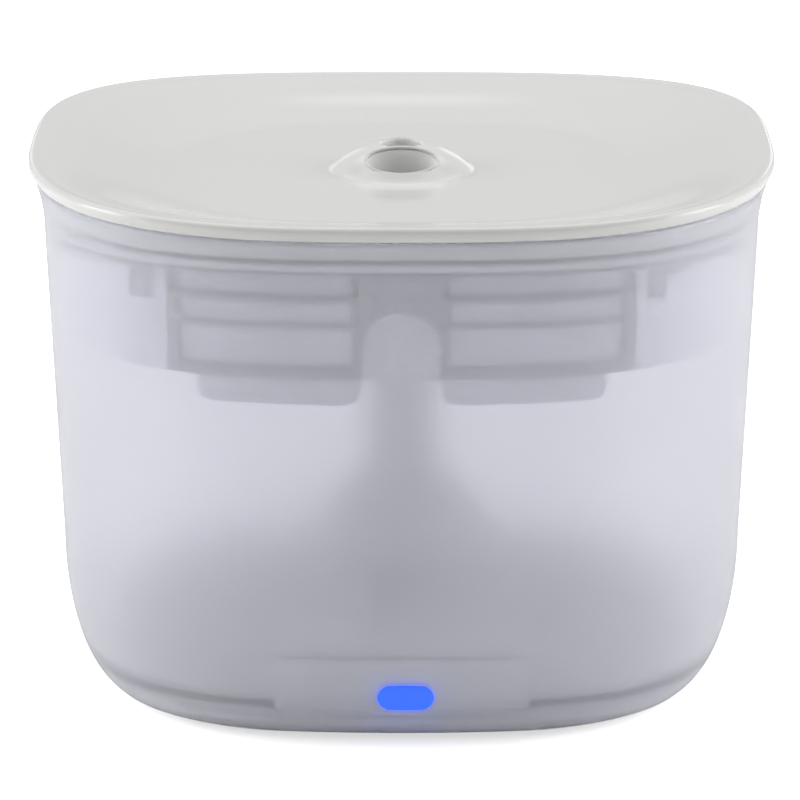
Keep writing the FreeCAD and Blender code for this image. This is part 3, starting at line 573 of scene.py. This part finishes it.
@dataclass
class Basket:
    """The filter basket: a tub whose front carries the box form, column and brackets, and two pockets."""

    plan: Plan
    half: float = 86.0
    floor: float = 96.0
    ledge: float = 124.0
    top: float = 125.8
    flange: float = 89.7
    box: tuple[float, float, float] = (57.0, 97.0, 117.0)
    rib: float = 109.5
    axis_y: float = 4.0
    room: tuple[float, float] = (88.3, 0.046)
    gap: float = 0.35
    plate: float = 1.6
    bore: float = 9.7
    hole_radius: float = 3.0
    hole_step: float = 16.0
    hole_first: float = 28.0
    hole_grid: tuple[int, int] = (7, 3)

    @staticmethod
    def patch(x: np.ndarray, z: np.ndarray, box: tuple[float, float, float, float], corner: float = 1.5,
              edge: float = 0.7) -> np.ndarray:
        """1 inside a rounded rectangle and 0 outside, with a smooth step across its edge.

        The distance to the edge is the length of the part beyond the corner centres, less the corner
        radius, and negative inside.
        """
        left, right, low, high = box
        dx = np.abs(x - (left + right) / 2) - (right - left) / 2 + corner
        dz = np.abs(z - (low + high) / 2) - (high - low) / 2 + corner
        beyond = np.hypot(np.maximum(dx, 0), np.maximum(dz, 0)) + np.minimum(np.maximum(dx, dz), 0) - corner
        return 1 - smooth(beyond, -edge / 2, edge / 2)

    def relief(self, x: np.ndarray, z: np.ndarray) -> tuple[np.ndarray, np.ndarray]:
        """How far the front stands out, and how thick its plastic looks from 0 to 1, which decides where
        shade is painted in dark grey.
        """
        half, low, high = self.box
        frame = self.patch(x, z, (-half, half, low - 2, high), 2.0)
        band = self.patch(x, z, (-half, half, high - 1, 130.0), 0.6)
        column = self.patch(x, z, (-10.6, 10.6, 107.0, 130.0), 1.0)
        out = 1.3 * frame - 1.6 * band * (1 - frame) * (1 - column)
        # Where this share is high the faces get painted shade: frame, band, column and brackets.
        thick = 0.9 * frame + 0.55 * band * (1 - frame)
        for side in (-1, 1):
            left, right = sorted((side * 12.0, side * (half - 3.4)))
            for foot, head in ((low + 2.4, self.rib - 0.7), (self.rib + 0.9, high - 1.7)):
                pane = self.patch(x, z, (left, right, foot, head), 1.2)
                out = out - 2.2 * pane
                thick = thick * (1 - pane)
        for left, right, foot in ((-66.5, -60.6, 114.0), (60.0, 64.5, 114.0), (64.5, 70.0, 119.0)):
            bracket = self.patch(x, z, (left, right, foot, 130.0), 0.8)
            out = out + 1.2 * bracket
            thick = np.maximum(thick, 0.7 * bracket)
        out = out * (1 - column) + 1.7 * column
        thick = thick * (1 - column) + 0.75 * column
        arch = self.patch(x, z, (-9.6, 9.6, 80.0, 113.2), 9.5)
        return out * (1 - arch) - 1.2 * arch, thick * (1 - arch)

    def turns(self) -> np.ndarray:
        """Angles round the plan, close together across the front and wider elsewhere."""
        front = np.linspace(-math.pi * 0.77, -math.pi * 0.23, 560, endpoint=False)
        rest = np.linspace(-math.pi * 0.23, math.pi * 1.23, 140, endpoint=False)
        return np.concatenate([front, rest])

    def wall(self) -> bpy.types.Object:
        """The tub's wall and flange: the front in relief outside, plain inside."""
        turn = self.turns()
        reach = plan_reach(turn, np.array(self.plan.power))
        level = np.linspace(self.floor + 0.6, self.ledge - 0.1, 84)[:, None]
        plain_half = self.half + (level - self.ledge) / (self.ledge - self.floor) + 0.1
        x = plain_half * reach * np.cos(turn)
        y = plain_half * reach * np.sin(turn)
        height = level + 0 * x
        out, _ = self.relief(x, height)
        room, lean = self.room
        limit = room + (level - self.floor) * lean - self.gap
        grown = np.minimum(plain_half + out * smooth(-y, 40.0, 60.0), limit)
        outer = np.stack([grown * reach * np.cos(turn), grown * reach * np.sin(turn), height], axis=-1)
        rim = [(self.flange - 0.3, self.ledge), (self.flange, self.ledge + 0.3),
               (self.flange, self.top - 0.3), (self.flange - 0.3, self.top),
               (self.half, self.top), (self.half - 0.7, self.top - 0.4),
               (self.half - 3.4, self.floor + 2.6), (self.half - 5.0, self.floor + 1.5),
               (self.half - 5.0, self.floor), (self.half - 1.6, self.floor)]
        plain = [np.stack([wide * reach * np.cos(turn), wide * reach * np.sin(turn), at + 0 * turn], axis=-1)
                 for wide, at in rim]
        made = mesh_object("basket wall", np.concatenate([outer, np.array(plain)]))
        # The second slot is painted shade: a dark grey on the faces that look thick.
        dress(made, BASKET_THIN, BASKET_PAINTED_SHADE)
        self.paint(made)
        return made

    def paint(self, piece: bpy.types.Object) -> None:
        """Gives the dark grey painted-shade finish to the faces whose points look thick on the whole."""
        count = len(piece.data.polygons)
        centre = np.empty(count * 3)
        piece.data.polygons.foreach_get("center", centre)
        centre = centre.reshape(-1, 3) / MM
        reach = np.abs(centre[:, :2] / self.half) ** self.plan.power
        _, thick = self.relief(centre[:, 0], centre[:, 2])
        outside = reach.sum(axis=1) > 0.93
        # These faces take the painted shade.
        here = outside & (centre[:, 1] < -55) & (thick > 0.45) & (centre[:, 2] < self.ledge)
        piece.data.polygons.foreach_set("material_index", here.astype(np.int32))

    def bottom(self) -> bpy.types.Object:
        """The floor with its return holes, the openings to the pockets and the riser's sleeve."""
        turn = angles(200)
        reach = plan_reach(turn, np.array(self.plan.power))
        top = self.floor + self.plate
        rows = [(0.0, self.floor), (30.0, self.floor), (self.half - 4.9, self.floor),
                (self.half - 4.7, self.floor + self.plate / 2), (self.half - 4.9, top), (30.0, top),
                (0.0, top)]
        plate = mesh_object("basket floor", np.array([np.stack(
            [half * reach * np.cos(turn), half * reach * np.sin(turn), level + 0 * turn], axis=-1)
            for half, level in rows]), closed=False)
        columns, lines = self.hole_grid
        tools = []
        for number in range(columns * lines):
            across = (number % columns - columns // 2) * self.hole_step
            along = self.hole_first + number // columns * self.hole_step
            tool = self.floor_tool("hole", self.hole_radius, 0.0, 32)
            tool.data.transform(Matrix.Translation(Vector((across * MM, along * MM, 0))))
            tools.append(tool)
        tools.append(self.floor_tool("bore", self.bore, self.axis_y, 64))
        for side in (-1, 1):
            tools.append(self.cup("opening", side, [(19.9, 94.0), (2.0, 94.0), (2.0, 99.0), (19.9, 99.0)]))
        carve(plate, tools)
        inside, outside = self.bore, self.bore + 1.4
        sleeve = mesh_object("sleeve", ring_points(
            [(inside, self.floor), (outside, self.floor), (outside, 117.6), (outside - 0.4, 118.0),
             (inside + 0.3, 118.0), (inside, 117.6)], self.axis_y))
        return join([plate, sleeve], "basket floor")

    def floor_tool(self, name: str, radius: float, centre: float, count: int) -> bpy.types.Object:
        """A round upright cutter through the floor, at y = centre."""
        low, high = self.floor - 2.0, self.floor + 3.0
        profile = [(0.0, low), (radius, low), (radius, high), (0.0, high)]
        return mesh_object(name, ring_points(profile, centre, count), closed=False)

    def cup(self, name: str, side: int, rows: Sequence[tuple[float, float]]) -> bpy.types.Object:
        """Rounded outlines of one pocket, each inset by so much at its level.

        The front bows with the wall, by the square of the distance across.

        Args:
            name: The piece's name.
            side: -1 for the left pocket and 1 for the right one.
            rows: Inset and level of each outline.
        """
        turn = angles(120)
        corner = plan_reach(turn, np.array(9.0))
        loops = []
        for inset, level in rows:
            x = max(20.0 - inset, 0.0) * corner * np.cos(turn) + side * 30.0
            y = max(12.0 - inset, 0.0) * corner * np.sin(turn) - 73.8 + x * x / 396
            loops.append(np.stack([x, y, np.full_like(x, level)], axis=-1))
        return mesh_object(name, np.array(loops), closed=False)

    def build(self) -> bpy.types.Object:
        """Builds and joins the wall, the floor and the pockets."""
        rows = [(20.0, 89.0), (4.0, 89.0), (2.2, 89.2), (0.9, 89.9), (0.15, 91.2), (0.0, 92.6), (0.0, 97.2),
                (1.6, 97.2), (1.6, 92.8), (2.4, 91.4), (3.8, 90.7), (20.0, 90.7)]
        cups = [self.cup("pocket", side, rows) for side in (-1, 1)]
        for cup in cups:
            dress(cup, BASKET_THIN)
        made = join([self.wall(), self.bottom(), *cups], "basket")
        made.data.set_sharp_from_angle(angle=math.radians(45))
        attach(made, "basket")
        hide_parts("filter_basket")
        return made


@dataclass
class SoftPieces:
    """The felt pad in the cartridge and the sponge ring in the pump."""

    felt_half: tuple[float, float] = (50.0, 29.2)
    felt_y: float = -43.25
    felt_top: float = 112.3
    swell: float = 0.3
    sponge_y: float = 4.0
    ripple: float = 0.12
    ripples: int = 24

    def felt(self) -> bpy.types.Object:
        """A needled pad: rounded edges, and a top that swells a little between its needle rows.

        The level of the top is raised by a cosine across and along, fading to the edge.
        """
        turn = angles(200)
        corner = plan_reach(turn, np.array(12.0))
        rows = [(0.0, 107.0), (0.6, 107.0), (0.965, 107.0), (0.995, 108.0), (1.0, 109.6), (0.995, 111.2),
                (0.965, 112.1)]
        rows += [(share, self.felt_top) for share in np.linspace(0.92, 0.0, 40)]
        loops = []
        for share, level in rows:
            x = self.felt_half[0] * share * corner * np.cos(turn)
            y = self.felt_half[1] * share * corner * np.sin(turn) + self.felt_y
            needled = np.cos(x * 0.9) * np.cos(y * 0.9) * (level == self.felt_top) * (1 - share**6)
            loops.append(np.stack([x, y, level + self.swell * needled], axis=-1))
        made = mesh_object("felt", np.array(loops), closed=False)
        dress(made, FELT)
        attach(made, "cartridge")
        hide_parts("felt_pad")
        return made

    def sponge(self) -> bpy.types.Object:
        """A ring of sponge with rounded edges, its outside rippled by a low cosine."""
        turn = angles(240)
        profile = [(15.5, 21.6), (16.2, 20.9), (20.2, 20.9), (21.0, 21.6), (21.05, 25.4), (21.0, 29.2),
                   (20.2, 29.9), (16.2, 29.9), (15.5, 29.2)]
        dip = np.abs(self.ripple * np.cos(turn * self.ripples))
        loops = []
        for radius, level in profile:
            reach = radius - dip
            y = reach * np.sin(turn) + self.sponge_y
            loops.append(np.stack([reach * np.cos(turn), y, np.full_like(turn, level)], axis=-1))
        made = mesh_object("sponge", np.array(loops))
        dress(made, SPONGE)
        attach(made, "pump")
        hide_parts("pump_sponge")
        return made


@dataclass
class Tray:
    """The glossy drinking tray: saddle rim, shallow dish, spout dome with its drain, and the skirt below."""

    plan: Plan
    deep: float = 7.0
    thick: float = 2.2
    crest: float = 93.6
    dome_radius: float = 19.2
    dome_rise: float = 7.1
    dome_y: float = 4.0
    spout_radius: float = 5.4
    drain_wide: float = 9.0
    drain_tall: float = 4.5
    drain_tilt: float = 33.7
    drain_reach: float = 10.25
    drain_rise: float = 4.1

    @property
    def floor(self) -> float:
        """Level of the dish's floor."""
        return self.plan.rim_front - self.deep

    def dish(self, half: np.ndarray) -> np.ndarray:
        """Level of the dish at a half width: flat, then an S-curve up to the rim, gently rounded over it."""
        rise = (self.deep - 0.25) * smooth(half, 57.0, 92.8)
        return self.floor + rise + 0.25 * smooth(half, 91.5, self.crest)

    def grid(self, half: np.ndarray, level: np.ndarray, dome: float) -> np.ndarray:
        """The tray's surface: outlines that turn from circles round the dome into the plan outline.

        Args:
            half: Half widths from the middle out.
            level: Level of each outline, before the saddle and the dome.
            dome: Share of the dome's height to add.

        Returns:
            Array (rows, around, 3) in millimetres.
        """
        turn = angles()
        share = smooth(half, 20.0, 70.0)[:, None]
        power = 2 + (self.plan.power - 2) * share
        reach = half[:, None] * plan_reach(turn, power)
        across = reach * np.cos(turn)
        along = reach * np.sin(turn) + self.dome_y * (1 - share)
        lift = smooth(half, 55.0, 92.5)[:, None]
        t = np.clip(half / self.dome_radius, 0, 1)[:, None]
        bulge = dome * self.dome_rise * (1 - t**3) ** 1.4
        height = level[:, None] + lift * self.plan.saddle(across) + bulge
        return np.stack([across, along, height], axis=-1)

    def build(self) -> bpy.types.Object:
        """Builds the tray as one closed skin, cuts the spout and the drain, adds the tube and the skirt."""
        top_half = np.concatenate([np.linspace(0, 21, 50), np.linspace(21, 89, 58)[1:],
                                   np.linspace(89, self.crest, 14)[1:]])
        top = self.grid(top_half, self.dish(top_half), 1.0)
        bend = np.linspace(0, math.pi / 2, 8)[1:]
        edge_half = np.concatenate([self.crest + 1.35 * np.sin(bend), [94.9, 94.6, 94.2, 93.9, 93.5, 92.6]])
        edge_level = self.plan.rim_front + np.concatenate(
            [-1.1 * (1 - np.cos(bend)), [-1.7, -2.4, -3.1, -3.5, -3.7, -3.72]])
        edge = self.grid(edge_half, edge_level, 0.0)
        low_half = np.concatenate([np.linspace(91.4, 22, 40), np.linspace(21, 0, 24)])
        low_level = np.minimum(self.dish(low_half) - self.thick, self.plan.rim_front - 3.72)
        low = self.grid(low_half, low_level, 1.0)
        body = mesh_object("tray", np.concatenate([top, edge, low]), closed=False)
        carve(body, [self.spout_tool(), self.drain_tool()])
        tube = mesh_object("tube", ring_points(
            [(5.4, 116.3), (5.4, 133.0), (5.45, 135.4), (6.2, 135.3), (6.5, 134.0), (6.5, 116.3),
             (6.3, 116.0), (5.6, 116.0)], self.dome_y, 96))
        skirt = self.plan.carried(np.array([86.8, 88.6, 88.6, 88.4, 87.0, 86.8]),
                                  np.array([133.4, 133.4, 127.2, 127.0, 127.0, 127.2]), np.zeros(6))
        pieces = [body, mesh_object("skirt", skirt), self.drain_rim()]
        for piece in pieces:
            dress(piece, TRAY_GLOSS)
        matt = [self.drain_well(), tube]
        for piece in matt:
            dress(piece, DRAIN_MATT)
        made = join([*pieces, *matt], "tray")
        made.data.set_sharp_from_angle(angle=math.radians(38))
        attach(made, "tray")
        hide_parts("drinking_tray")
        return made

    def spout_tool(self) -> bpy.types.Object:
        """A round cutter for the spout, flared at its top so that the hole has a soft edge."""
        top = self.floor + self.dome_rise
        flare = np.linspace(0, 1, 7)
        profile = [(0.0, self.floor - 8), (self.spout_radius, self.floor - 8)]
        profile += [(self.spout_radius + 1.3 * f**2.4, top - 1.4 + 1.5 * f) for f in flare]
        profile += [(self.spout_radius + 1.6, top + 3), (0.0, top + 3)]
        return mesh_object("spout tool", ring_points(profile, self.dome_y, 96), closed=False)

    def drain_frame(self) -> tuple[np.ndarray, np.ndarray, np.ndarray]:
        """Centre of the drain's mouth, the direction down the dome's slope, and the outward normal."""
        tilt = math.radians(self.drain_tilt)
        centre = np.array([0.0, self.dome_y - self.drain_reach, self.floor + self.drain_rise])
        down = np.array([0.0, -math.cos(tilt), -math.sin(tilt)])
        normal = np.array([0.0, -math.sin(tilt), math.cos(tilt)])
        return centre, down, normal

    def drain_loop(self, grow: np.ndarray, out: np.ndarray) -> np.ndarray:
        """Ovals about the drain's normal, each grown by so much and moved out by so much."""
        centre, down, normal = self.drain_frame()
        turn = angles(120)
        wide = (self.drain_wide + grow)[:, None] * np.cos(turn)
        tall = (self.drain_tall + grow)[:, None] * np.sin(turn)
        x = np.array([1.0, 0.0, 0.0])
        return centre + wide[..., None] * x + tall[..., None] * down + out[:, None, None] * normal

    def drain_tool(self) -> bpy.types.Object:
        """An oval cutter along the drain's normal, flared outwards into a soft bevel."""
        flare = np.linspace(0, 1, 7)
        grow = np.concatenate([[-self.drain_tall, 0.0], 1.2 * flare**2.2, [1.4, -self.drain_tall]])
        out = np.concatenate([[-4.4, -4.4], -1.2 + 1.7 * flare, [6.0, 6.0]])
        return mesh_object("drain tool", self.drain_loop(grow, out), closed=False)

    def drain_well(self) -> bpy.types.Object:
        """The matt oval tube below the drain, upright and open at both ends, that leads to the basket."""
        turn = angles(96)
        low = 121.0
        tilt = math.tan(math.radians(self.drain_tilt))
        tall = self.drain_tall * math.cos(math.radians(self.drain_tilt))
        loops = []
        for grow, top in ((0.0, False), (0.0, True), (0.5, True), (0.5, False)):
            x = (self.drain_wide + grow) * np.cos(turn)
            y = (tall + grow * 0.4) * np.sin(turn)
            slope = self.floor + self.drain_rise - 0.5 + tilt * y
            level = slope if top else np.full_like(x, low)
            loops.append(np.stack([x, y + self.dome_y - self.drain_reach, level], axis=-1))
        return mesh_object("drain well", np.array(loops))

    def drain_rim(self) -> bpy.types.Object:
        """A thin rounded bead round the drain's mouth."""
        swing = angles(10)
        bead = 0.42
        loops = self.drain_loop(0.35 + bead * np.cos(swing), 0.05 + bead * np.sin(swing))
        return mesh_object("drain rim", loops)


@dataclass
class CadFinishes:
    """Dresses the CAD nodes that are shown as they are."""

    finishes: dict[str, Finish] = field(default_factory=lambda: dict(CAD_FINISHES))

    def dress_all(self) -> None:
        """Gives every CAD node the finish of its material slot."""
        for row in frame["record"]["subparts"]:
            piece = frame["nodes"][row["node"]]
            finish = self.finishes[row["material_slot"]]
            dress(piece, finish)
            log.info("node %s takes %s", row["node"], finish.name)


@dataclass
class Studio:
    """The pale floor, the soft lights and the camera of the photograph's view."""

    camera_back: float = 1.2799
    camera_up: float = 0.4156
    camera_down: float = 15.2
    lens: float = 228.6
    shift: float = -0.0019
    world_dim: float = 0.12
    world_bright: float = 0.62
    world_through: float = 0.8
    bright_side: tuple[float, float, float] = (0.0, 0.75, 0.66)
    floor_seen: float = 0.6
    floor_through: float = 0.35

    def build(self) -> None:
        """Makes the world, the floor, the lights and the camera."""
        self.world()
        self.floor()
        self.lamp("light left", (-1.0, -0.1, 0.5), (0.5, 0.9), 7.2)
        self.lamp("light right", (1.0, -0.1, 0.5), (0.5, 0.9), 6.9)
        self.lamp("light top", (0.0, 0.6, 1.2), (1.4, 0.9), 3.3)
        self.lamp("strip left", (-0.38, 1.3, 0.40), (0.20, 0.42), 0.10)
        self.lamp("strip right", (0.38, 1.3, 0.40), (0.20, 0.42), 0.18)
        camera = bpy.data.objects.new("camera", bpy.data.cameras.new("camera"))
        bpy.context.scene.collection.objects.link(camera)
        camera.location = (0.0, -self.camera_back, self.camera_up)
        camera.rotation_euler = (math.radians(90 - self.camera_down), 0.0, 0.0)
        camera.data.lens = self.lens
        camera.data.sensor_width = 36.0
        camera.data.shift_x = self.shift
        bpy.context.scene.camera = camera
        bpy.context.scene.view_settings.view_transform = "Standard"

    def seen(self, tree: bpy.types.NodeTree, camera: float, through: float) -> bpy.types.NodeSocket:
        """The strength that rays from the camera and rays through the plastic see, and zero for light."""
        path = tree.nodes.new("ShaderNodeLightPath")
        total = None
        for name, strength in (("Is Camera Ray", camera), ("Is Transmission Ray", through)):
            part = tree.nodes.new("ShaderNodeMath")
            part.operation = "MULTIPLY_ADD"
            part.inputs[1].default_value = strength
            part.inputs[2].default_value = 0.0
            tree.links.new(path.outputs[name], part.inputs[0])
            if total is not None:
                tree.links.new(total, part.inputs[2])
            total = part.outputs[0]
        return total

    def world(self) -> None:
        """A surround that is brighter above and behind, and that the camera sees as plain white."""
        world = bpy.data.worlds.new("studio")
        bpy.context.scene.world = world
        world.use_nodes = True
        tree = world.node_tree
        glow = tree.nodes["Background"]
        glow.inputs["Color"].default_value = (1.0, 1.0, 1.0, 1.0)
        facing = tree.nodes.new("ShaderNodeVectorMath")
        facing.operation = "DOT_PRODUCT"
        facing.inputs[1].default_value = self.bright_side
        spread = tree.nodes.new("ShaderNodeMapRange")
        spread.inputs["From Min"].default_value = -0.6
        spread.inputs["To Min"].default_value = self.world_dim
        spread.inputs["To Max"].default_value = self.world_bright
        tree.links.new(tree.nodes.new("ShaderNodeTexCoord").outputs["Generated"], facing.inputs[0])
        tree.links.new(facing.outputs["Value"], spread.inputs["Value"])
        brighter = tree.nodes.new("ShaderNodeMath")
        brighter.operation = "MAXIMUM"
        tree.links.new(spread.outputs["Result"], brighter.inputs[0])
        tree.links.new(self.seen(tree, 1.0, self.world_through), brighter.inputs[1])
        tree.links.new(brighter.outputs[0], glow.inputs["Strength"])

    def floor(self) -> None:
        """A wide pale floor that still takes the fountain's shadow."""
        made = bpy.data.meshes.new("floor")
        reach = 6.0
        corners = [(-reach, -reach, 0), (reach, -reach, 0), (reach, reach, 0), (-reach, reach, 0)]
        made.from_pydata(corners, [], [(0, 1, 2, 3)])
        floor = bpy.data.objects.new("floor", made)
        bpy.context.scene.collection.objects.link(floor)
        pale = bpy.data.materials.new("pale floor")
        pale.use_nodes = True
        shader = pale.node_tree.nodes["Principled BSDF"]
        shader.inputs["Base Color"].default_value = (0.93, 0.93, 0.93, 1.0)
        shader.inputs["Roughness"].default_value = 0.9
        shader.inputs["Specular IOR Level"].default_value = 0.1
        shader.inputs["Emission Color"].default_value = (1.0, 1.0, 1.0, 1.0)
        made.materials.append(pale)
        tree = pale.node_tree
        strength = self.seen(tree, self.floor_seen, self.floor_through)
        tree.links.new(strength, shader.inputs["Emission Strength"])

    def lamp(self, name: str, place: tuple[float, float, float], size: tuple[float, float],
             power: float) -> None:
        """A soft rectangular light that faces the fountain.

        Args:
            name: The lamp's name.
            place: Where it stands, in metres.
            size: Its width and height, in metres.
            power: Its power in watts.
        """
        data = bpy.data.lights.new(name, "AREA")
        data.shape = "RECTANGLE"
        data.size, data.size_y = size
        data.energy = power
        lamp = bpy.data.objects.new(name, data)
        bpy.context.scene.collection.objects.link(lamp)
        lamp.location = place
        aim = Vector((0.0, 0.0, 0.09)) - Vector(place)
        lamp.rotation_euler = aim.to_track_quat("-Z", "Y").to_euler()


def main() -> None:
    """Dresses the CAD nodes, builds the fountain's pieces in order and logs their face counts, then builds
    the studio.
    """
    logging.basicConfig(level=logging.INFO, format="%(name)s: %(message)s")
    plan = Plan()
    CadFinishes().dress_all()
    soft = SoftPieces()
    for piece in (Tank(plan).build(), Tray(plan).build(), Basket(plan).build(), Lens().build(), soft.felt(),
                  soft.sponge()):
        log.info("%s has %d faces", piece.name, len(piece.data.polygons))
    Studio().build()


if __name__ == "__main__":
    main()
